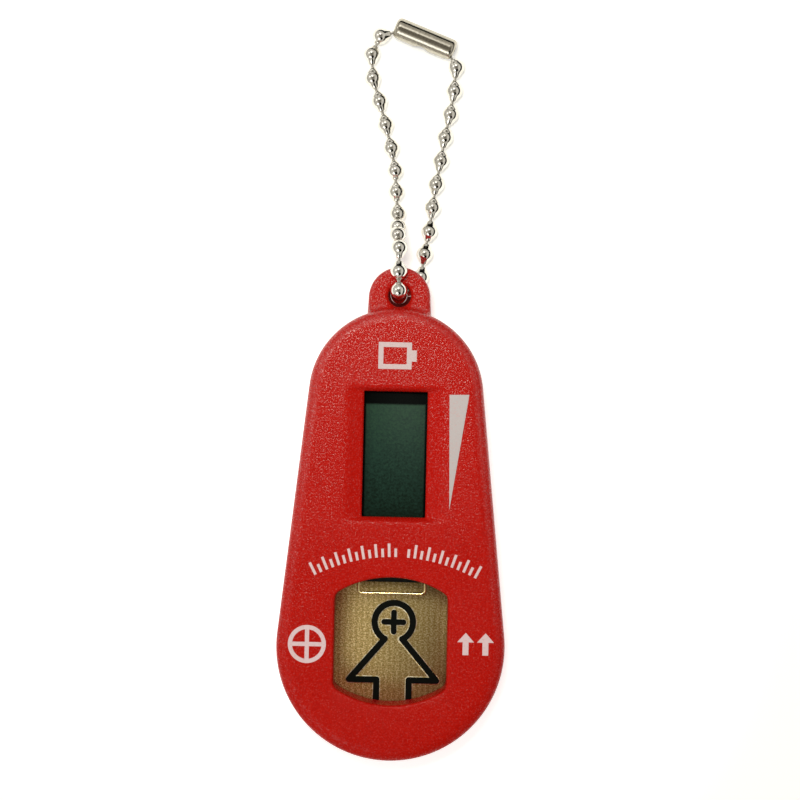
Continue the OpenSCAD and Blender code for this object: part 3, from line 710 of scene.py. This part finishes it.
# drawn bronze wire, bright gold plated: fine draw lines along it, nearly a mirror
wireGold = speckled("gold plated bronze wire, bright drawn", *wireLook["gold"], wireLook["drawLines"], 0.004,
                    2.0, 0.5, Metallic=1.0, Roughness=0.22)
addPiece("contactWire", meshFrom(wireMesh), wireGold, ["contact_wire"], "wire")
print("bay dressed")


# inner parts: they show only when the shell is taken off

innerLook = {"steel": ("#83858A", "#A9ABAE"), "solder": ("#8F9294", "#A7A9A8"), "blob": ("#0D0D0F", "#1A1A1D"),
             "titanate": ("#9C8462", "#B89E78"), "glaze": ("#151519", "#2A2A30"), "foam": ("#1D1D1F", "#2B2B2D"),
             "zebra": ("#17161A", "#A5717C")}

# bright grey screws, silvery solder, a black blob with wide ripples, tan and black chips, pitted foam, pink stripes
for innerPiece in (
        ("shell_screws", "shellScrews", "screw_steel", 0.08, speckled(
            "zinc plated steel, cold headed", *innerLook["steel"], 0.5, 0.006, Metallic=1.0, Roughness=0.32)),
        ("wire_solder", "wireSolder", "solder", 0.05, speckled(
            "tin solder, dull satin", *innerLook["solder"], 0.3, 0.02, Metallic=1.0, Roughness=0.4)),
        ("chip_blob", "chipBlob", "chip_resin", 0.3, speckled(
            "epoxy blob, glossy black", *innerLook["blob"], 2.0, 0.05, IOR=1.55, Roughness=0.25)),
        ("capacitors", "capacitorChips", "capacitor_ceramic", 0.08, speckled(
            "barium titanate ceramic, fired matt", *innerLook["titanate"], 0.2, 0.01, IOR=1.6, Roughness=0.55)),
        ("resistors", "resistorChips", "resistor_ceramic", 0.05, speckled(
            "alumina chip with dark glaze", *innerLook["glaze"], 0.2, 0.008, IOR=1.5, Roughness=0.3)),
        ("lcd_cushion", "displayCushion", "foam", 0.15, speckled(
            "polyurethane foam, open cell", *innerLook["foam"], 0.35, 0.12, Roughness=0.9)),
        ("zebra_strip", "zebraStrip", "zebra_rubber", 0.08, striped(
            "silicone rubber, layered zebra strip", *innerLook["zebra"], 0.8, (0.45, 0.55),
            IOR=1.41, Roughness=0.6))):
    softenedCopy(*innerPiece)
print("inner parts dressed")


# display: two glasses with a reflector below and a satin polariser on top

displayLook = {
    "top": "#23402F", "middle": "#1A332A", "low": "#0A1910", "seal": "#030504",
    "lowY": 18.2, "topY": 36.2, "sealY": (34.15, 34.45), "sealX": (4.1, 4.3), "fibre": 0.3,  # mm
    "glass": ("#24362E", "#33483D"), "reflector": ("#878F88", "#A3AAA3"),
}


def polariserFilm():
    # cellulose triacetate film, satin: a teal-grey green, with painted shade that sinks it to near black at the low
    # end;
    # a painted shadow, near black and less glossy, lies along the top and both sides, under the window's walls
    look = SimpleNamespace(**displayLook)
    material, add, shader, place = newMaterial("triacetate polariser film, satin", IOR=1.38, Roughness=0.42)
    x, y = add("SeparateXYZ", [place]).outputs[:2]
    # painted shade: darker towards the low end
    share = add("MapRange", [y, look.lowY * mm, look.topY * mm, 0.0, 0.5])
    fibre = add("TexNoise", {"Vector": place, "Scale": perMetre(look.fibre), "Detail": 3.0, "Roughness": 0.7})
    drift = add("Math", [fibre, share])
    tone = add("ValToRGB", [drift], [(0.42, look.low), (0.76, look.middle), (1.0, look.top)])
    # painted shadow along the top and both sides
    above = add("MapRange", [y, *(v * mm for v in look.sealY)])
    aside = add("Math", [x], operation="ABSOLUTE")
    beside = add("MapRange", [aside, *(v * mm for v in look.sealX)])
    seal = add("Math", [above, beside], operation="MAXIMUM")
    mixed = add("Mix", {"Factor": seal, 6: tone, 7: toLinear(look.seal)}, data_type="RGBA")
    feed(shader, {"Base Color": mixed.outputs[2],
                  "Specular IOR Level": add("Math", [seal, -0.07, 0.09], operation="MULTIPLY_ADD"),
                  "Normal": add("Bump", {"Height": fibre, "Distance": 0.006 * mm})})
    return material


# soda-lime glass with the liquid crystal behind it: dark, glossy, greenish at its edges
cellGlass = speckled("soda-lime glass, display cell", *displayLook["glass"], 4.0, 0, 2.0, 0.5,
                     IOR=1.52, Roughness=0.06)
# a pearly silver-grey that lifts the film from behind
pearlFilm = speckled("aluminised film, pearled", *displayLook["reflector"], 0.4, 0.01, Metallic=0.6, Roughness=0.4)
softenedCopy("lcd_polariser", "displayPolariser", "display_film", 0.03, polariserFilm(), 2)
softenedCopy("lcd_front_glass", "displayFrontGlass", "display_glass", 0.06, cellGlass, 2)
softenedCopy("lcd_rear_glass", "displayRearGlass", "display_glass", 0.06, cellGlass, 2)
softenedCopy("lcd_reflector", "displayReflector", "display_reflector", 0.03, pearlFilm, 2)
print("display dressed")


# chain: hollow nickel beads with drawn-out mouths, dumbbell links, a rolled coupling

chainLook = {
    "bead": 1.2, "wall": 0.2, "mouth": 0.54, "mouthHole": 0.36, "swell": 26,  # mm and degrees
    "draw": 0.40, "drawFrom": 1.3, "endDraw": 0.05, "besideDraw": 0.12,  # mm, how far the mouths are drawn out
    "looseHole": 0.4, "looseFrom": 0.7, "looseRun": 0.5,  # mm of extra room upwards where a link folds in its bead
    "neck": 0.27, "head": 0.5, "headThick": 0.12, "linkLength": 1.939,  # mm, linkLength is between head middles
    "turns": 36, "linkTurns": 24,
    "lies": 1.2, "onLug": 6.75,  # mm, height of the beads on the ground and over the lug
    "nickel": ("#E4E0D6", "#F6F3EB"), "steel": ("#DAD6CC", "#F0ECE3"), "dimple": 0.9, "drawMark": 0.16,  # mm
}
couplingLook = {  # mm and degrees
    "middle": (3.0, 37.25), "turn": -21.3, "length": 9.2, "radius": 1.55, "wall": 0.28, "lip": 0.25,
    "mouth": 0.85, "edge": 0.65, "slot": 1.2, "relief": 0.9, "endGap": 0.95, "tilt": 25.0, "entry": 1.25,
    "endReach": 3.3, "steps": 40, "turns": 56, "nickel": ("#B9B3A4", "#CEC8B9"),
}
chain = SimpleNamespace(**chainLook)
coupling = SimpleNamespace(**couplingLook)


def chainRoute():
    # bead centres in mm from the eye; most beads lie on the ground
    turn, high = radians(coupling.turn), chain.onLug
    step = Vector((cos(turn), sin(turn), 0)) * coupling.endReach
    middle = Vector((*coupling.middle, coupling.radius))
    return [middle - step] + [Vector(p if len(p) == 3 else (*p, chain.lies)) for p in (
        (-3.4, 37.6), (-4.6, 34.95), (-4.4, 31.5), (-3.35, 28.2), (-2.4, 24.85), (-1.5, 21.5), (-0.85, 18.25),
        (-0.65, 15.2), (-0.35, 12.05), (-0.3, 10.0, 2.9), (-0.25, 8.7, 5.2), (0, 6.75, high), (0, 3.4, high),
        (0.05, 0.7, 6.1), (0.1, 0.1, 3.2), (1.45, 1.2), (3.2, 2.95), (3.65, 6.3), (4.25, 9.55), (4.65, 13.0),
        (5.1, 16.4), (5.7, 19.8), (6.2, 23.15), (6.9, 26.5), (7.4, 29.9), (7.6, 33.3))] + [middle + step]


route = [Vector((p.x, p.y + s.eyeY, p.z)) * mm for p in chainRoute()]
eyeFirst, eyeLast, last = 9, 20, len(route) - 1


def bezier(p0, p1, p2, p3, steps):
    return [tuple(((1 - t) ** 3 * a + 3 * (1 - t) ** 2 * t * b + 3 * (1 - t) * t * t * c + t ** 3 * d)
                  for a, b, c, d in zip(p0, p1, p2, p3)) for t in (k / steps for k in range(steps + 1))]


def meridian(r, start, end, count):  # (radius, height) pairs along a ball, both ends kept
    return [(r * sin(a), r * cos(a)) for a in (start + (end - start) * k / count for k in range(count + 1))]


def halfBead(draw):
    # (radius, height) in mm from the mouth's rim down to the waist, outside then inside
    ball, inner, mouth, hole = chain.bead, chain.bead - chain.wall, chain.mouth, chain.mouthHole
    rimZ = sqrt(ball ** 2 - mouth ** 2) + draw
    swell = asin(mouth / ball) + radians(chain.swell) * draw / chain.draw
    onBall = (ball * sin(swell), ball * cos(swell))
    pull = 0.4 * draw + 0.02
    outside = [(hole, rimZ - 0.03), (hole + 0.02, rimZ), (mouth - 0.04, rimZ + 0.02)]
    outside += bezier((mouth, rimZ - 0.02), (mouth + 0.02, rimZ - pull),
                      (onBall[0] - pull * cos(swell), onBall[1] + pull * sin(swell)), onBall, 7)
    return outside + meridian(ball, swell, pi / 2, 9)[1:], meridian(inner, pi / 2, asin(hole / inner), 6)


def addBead(bm, i):
    here = route[i]
    ahead = route[i + 1] if i < last else 2 * here - route[i - 1]
    back = route[i - 1] if i > 0 else 2 * here - route[i + 1]
    draws = [max(0.0, min(chain.draw, (there - here).length / mm / 2 - chain.drawFrom)) for there in (ahead, back)]
    if i in (0, last):  # the end beads sit inside the coupling
        draws = [min(d, chain.endDraw) for d in draws]
    if i == last - 1:  # close beside the coupling's mouth
        draws[0] = min(draws[0], chain.besideDraw)
    wayUp, wayDown = (ahead - here).normalized(), (here - back).normalized()
    low = up.rotation_difference(wayDown)
    high = wayDown.rotation_difference(wayUp) @ low
    loose = {1: eyeLast <= i < last, -1: 2 < i <= eyeFirst}
    topOut, topIn = halfBead(draws[0])
    lowOut, lowIn = halfBead(draws[1])
    profile = topOut + [(r, -z) for r, z in lowOut[-2::-1] + lowIn[::-1]] + topIn[1:]

    def place(point):
        share = min(1.0, max(0.0, point.z / (1.2 * chain.bead) + 0.5))
        share = share * share * (3 - 2 * share)
        spot = low.slerp(high, share) @ point
        for side, isLoose in loose.items():
            reach = (point.z * side - chain.looseFrom) / chain.looseRun
            if isLoose and reach > 0:  # a taller mouth, so the link can fold up in it
                spot.z += max(0.0, spot.normalized().z) * min(1.0, reach) * chain.looseHole * 2
        return here + spot * mm

    rings = lathe(bm, profile, chain.turns, place)
    stitch(bm, [rings[-1], rings[0]])


def addLink(bm, i):
    start, end = route[i], route[i + 1]
    turn = up.rotation_difference((end - start).normalized())
    half, thick, head, neck = chain.linkLength / 2, chain.headThick / 2, chain.head, chain.neck
    side = [(0.001, half + thick), (head * 0.8, half + thick), (head, half + thick * 0.4), (head, half - thick * 0.4),
            (head * 0.85, half - thick), (neck + 0.06, half - thick - 0.02), (neck + 0.01, half - thick - 0.12),
            (neck - 0.015, half * 0.4)]
    rings = lathe(bm, side + [(r, -z) for r, z in side[::-1]], chain.linkTurns,
                  lambda point: (start + end) / 2 + turn @ point * mm)
    bm.faces.new(rings[0])
    bm.faces.new(rings[-1][::-1])


def nickelBead():
    # rolled brass strip, bright nickel plated: a warm mirror with faint drawing marks and soft dimples
    material, add, shader, place = newMaterial("nickel plated brass, bright rolled", Metallic=1.0, Roughness=0.1)
    dimple, fine = (add("TexNoise", {"Vector": place, "Scale": perMetre(size)})
                    for size in (chain.dimple, chain.drawMark))
    height = add("Math", [fine, 0.12, dimple], operation="MULTIPLY_ADD")
    feed(shader, {"Base Color": add("ValToRGB", [dimple], list(zip((0.3, 0.7), chain.nickel))),
                  "Roughness": add("MapRange", [fine, 0.0, 1.0, 0.05, 0.17]),
                  "Normal": add("Bump", {"Height": height, "Distance": 0.014 * mm})})
    return material


beadNickel = nickelBead()
# headed steel wire, tumbled bright: a little duller than the beads
linkSteel = speckled("steel wire links, tumbled bright", *chain.steel, 0.3, 0.01, Metallic=1.0, Roughness=0.18)
groups = {"eye": ("chain_root", range(eyeFirst, eyeLast + 1), range(eyeFirst, eyeLast))}
for k in range(1, 7):
    groups[f"row{k}"] = (f"chain_row{k}", (eyeFirst - k, eyeLast + k), (eyeFirst - k, eyeLast + k - 1))
groups["end"] = ("chain_end", (0, 1, 2, last), (0, 1, 2, last - 1))
for group, (body, beads, links) in groups.items():
    for kind, spots, make, finish, slotName, solid in (
            ("Beads", beads, addBead, beadNickel, "bead_nickel", "beads"),
            ("Links", links, addLink, linkSteel, "link_steel", "pins")):
        bm = bmesh.new()
        for i in spots:
            make(bm, i)
        addPiece(group + kind, meshFrom(bm), finish, [f"{group}_{solid}"], body)
print("chain strung")


def couplingMesh():
    # a strip rolled into a tube: the seam is left open as a slot, wider in the middle where a bead goes in
    c = coupling
    half, outer, inner, steps = c.length / 2, c.radius, c.radius - c.wall, c.steps
    corner = [(half - c.edge + c.edge * sin(a), outer - c.edge + c.edge * cos(a))
              for a in (pi / 2 * k / 6 for k in range(7))]
    straight = runPoints((c.edge - half, outer), (half - c.edge, outer), steps)
    profile = [(-x, r) for x, r in corner[::-1]] + straight[1:] + corner
    innerHalf = half - c.lip
    mouth = [(half, c.mouth + 0.03), (half - 0.03, c.mouth), (innerHalf, c.mouth)]
    profile += mouth + runPoints((innerHalf, inner), (-innerHalf, inner), steps) + [(-innerHalf, inner)]
    profile += [(-x, r) for x, r in mouth[::-1]]
    place = (Matrix.Translation(Vector((c.middle[0], s.eyeY + c.middle[1], c.radius)))
             @ Matrix.Rotation(radians(c.turn), 4, "Z") @ Matrix.Rotation(radians(c.tilt), 4, "X"))
    bm = bmesh.new()
    rows = []
    for x, r in profile:
        gap = c.slot / 2
        if abs(x) < c.entry:
            gap = max(gap, sqrt(c.entry ** 2 - x * x))
        if abs(x) > half - c.relief:  # wider at the ends, where the links leave sideways
            gap = max(gap, c.endGap)
        lipAngle = asin(min(0.98, gap / max(r, gap * 1.03)))
        # the slot faces -Y; angles run round from one lip of it to the other
        rows.append([bm.verts.new((place @ Vector((x, -r * cos(a), r * sin(a)))) * mm)
                     for a in (lipAngle + (2 * pi - 2 * lipAngle) * n / c.turns for n in range(c.turns + 1))])
    stitch(bm, rows + rows[:1], closed=False)
    bmesh.ops.holes_fill(bm, edges=[e for e in bm.edges if e.is_boundary], sides=0)
    return meshFrom(bm)


# the same bright nickel, but rolled smooth: long clean streaks with a faint lengthwise grain
tubeNickel = speckled("nickel plated steel, smooth rolled tube", *coupling.nickel, 0.35, 0.003, 2.0, 0.5,
                      Metallic=1.0, Roughness=0.16)
addPiece("couplingTube", couplingMesh(), tubeNickel, ["coupling"], "coupling_tube")
print("coupling rolled")


# stage and light

stageLook = {
    "floor": "#F4F4F3", "floorGlow": 0.3, "glowUnder": 0.62,  # the sheet glows more around the housing
    "under": ((6, 8, 0), 30, 52),  # mm, middle of that glow, full within, none beyond
    "eyeSpot": "#6A1713", "eyeSpotR": (1.8, 2.6),  # mm, painted shade: a dark red dot on the floor under the eye, without glow, where the lug shades it
    "key": {"at": (-20, 79, 205), "towards": (0, 52, 0), "size": 56, "power": 0.08,
            "colour": (1.0, 0.97, 0.86), "spread": 105},  # degrees, the lug end gets the most of it
    "strip": {"at": (-83, -133, 186), "towards": (0, 30, 0), "size": 110, "power": 0.08, "long": 1.2},
    "tent": 0.63,
    "low": "#ECE9E1", "middle": "#F7F3EA", "high": "#958F84",  # the tent near the ground, half way and overhead
    "folds": 4.5, "fold": 0.5,  # how many folds it has, and how far they vary
    "dusk": "#0C0A08", "duskTo": (0.88, 0.47), "duskHigh": 0.42,  # the dark gap above the ground, far right
    "duskRun": (-0.35, 0.6), "duskEdge": (0.04, -0.03), "floorHalf": 1.5,  # metres
    "patches": [  # direction, half angle and softness in degrees, colour, gain
        ((-0.1, 0.46, 0.88), 12, 4, "#FFFDF8", 3.2),
        ((-0.62, 0.2, 0.76), 9, 3, "#FFFDF8", 2.6),
        ((0.16, -0.66, 0.73), 21, 4, "#140C06", 1.0),
    ],
}
stage = SimpleNamespace(**stageLook)
smooth = {"interpolation_type": "SMOOTHSTEP"}
blend = {"data_type": "RGBA"}


def softBox(name, at, towards, size, power, long=1.0, colour=(1, 1, 1), spread=180):
    data = bpy.data.lights.new(name, "AREA")
    data.shape = "RECTANGLE"
    data.size, data.size_y = size * mm * long, size * mm
    data.energy, data.color, data.spread = power, colour, radians(spread)
    lamp = addObject(name, data)
    lamp.location = Vector(at) * mm
    lamp.rotation_euler = (Vector(towards) * mm - lamp.location).to_track_quat("-Z", "Y").to_euler()
    return lamp


def whiteTent():
    # a pale tent with a few brighter and darker patches, which the metal shows as spots and streaks
    world = bpy.data.worlds.new("tent")
    world.use_nodes = True
    add = partial(addNode, world.node_tree)
    way = add("TexCoord").outputs["Generated"]
    rise = add("SeparateXYZ", [way]).outputs["Z"]
    sky = add("ValToRGB", [rise], [(0.0, stage.low), (0.82, stage.middle), (0.97, stage.high)])
    for towards, half, soft, colour, gain in stage.patches:
        near = add("VectorMath", [way, Vector(towards).normalized()], operation="DOT_PRODUCT")
        share = add("MapRange", [near.outputs["Value"], *(cos(radians(half + soft * n)) for n in (1, -1))], **smooth)
        sky = add("Mix", {"Factor": share, 6: sky, 7: [c * gain for c in toLinear(colour)]}, **blend).outputs[2]
    folds = add("TexNoise", {"Vector": way, "Scale": stage.folds, "Detail": 4.0})
    shade = add("MapRange", [folds, 0.3, 0.7, 1 - stage.fold, 1 + stage.fold])
    sky = add("VectorMath", {0: sky, "Scale": shade}, operation="SCALE")
    aside = add("VectorMath", [way, (*stage.duskTo, 0.0)], operation="DOT_PRODUCT")
    reach = add("MapRange", [aside.outputs["Value"], *stage.duskRun, 0.0, stage.duskHigh], **smooth)
    above = add("Math", [rise, reach], operation="SUBTRACT")
    dusk = add("MapRange", [above, *stage.duskEdge], **smooth)
    sky = add("Mix", {"Factor": dusk, 6: sky, 7: toLinear(stage.dusk)}, **blend)
    feed(world.node_tree.nodes["Background"], {"Strength": stage.tent, "Color": sky.outputs[2]})
    bpy.context.scene.world = world


def backLitFloor():
    # back-lit white acrylic: it stays white beside the part and keeps only a trace of its shadow
    material, add, shader, place = newMaterial(
        "opal acrylic, back-lit", Roughness=0.9, Emission_Color=toLinear("#FFFFFF"))

    def near(spot, inner, outer):  # 1 within the inner radius of a spot, 0 beyond the outer one
        far = add("VectorMath", [place, Vector(spot) * mm], operation="DISTANCE")
        return add("MapRange", [far.outputs["Value"], outer * mm, inner * mm], **smooth)

    # painted shade under the eye: dark red and without glow
    underEyeShade = near((s.lugX, s.eyeY, 0), *stage.eyeSpotR)
    under = add("MapRange", [near(*stage.under), 0.0, 1.0, stage.floorGlow, stage.glowUnder])
    colour = add("Mix", {"Factor": underEyeShade, 6: toLinear(stage.floor), 7: toLinear(stage.eyeSpot)}, **blend)
    feed(shader, {"Emission Strength": add("MapRange", [underEyeShade, 0.0, 1.0, under, 0.0]),
                  "Base Color": colour.outputs[2]})
    return material


def makeStage():
    bm = bmesh.new()
    bmesh.ops.create_grid(bm, x_segments=8, y_segments=8, size=stage.floorHalf)
    floorMesh = bpy.data.meshes.new("floor")
    bm.to_mesh(floorMesh)
    bm.free()
    floorMesh.materials.append(backLitFloor())
    floor = addObject("floor", floorMesh)
    floor.location.z = -0.02 * mm
    floor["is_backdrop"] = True
    key = softBox("keyBox", **stage.key)
    key.visible_camera = False
    # flags keep the key off the bright metal, which would mirror it as a hard spot
    spared = bpy.data.collections.new("sparedMetal")
    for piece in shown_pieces():
        if piece.name.endswith(("Beads", "Links", "Tube", "Pad", "Halo")):
            spared.objects.link(piece)
    for entry in spared.collection_objects:
        entry.light_linking.link_state = "EXCLUDE"
    key.light_linking.receiver_collection = spared
    softBox("stripBox", **stage.strip)
    whiteTent()


makeStage()
print("stage lit")
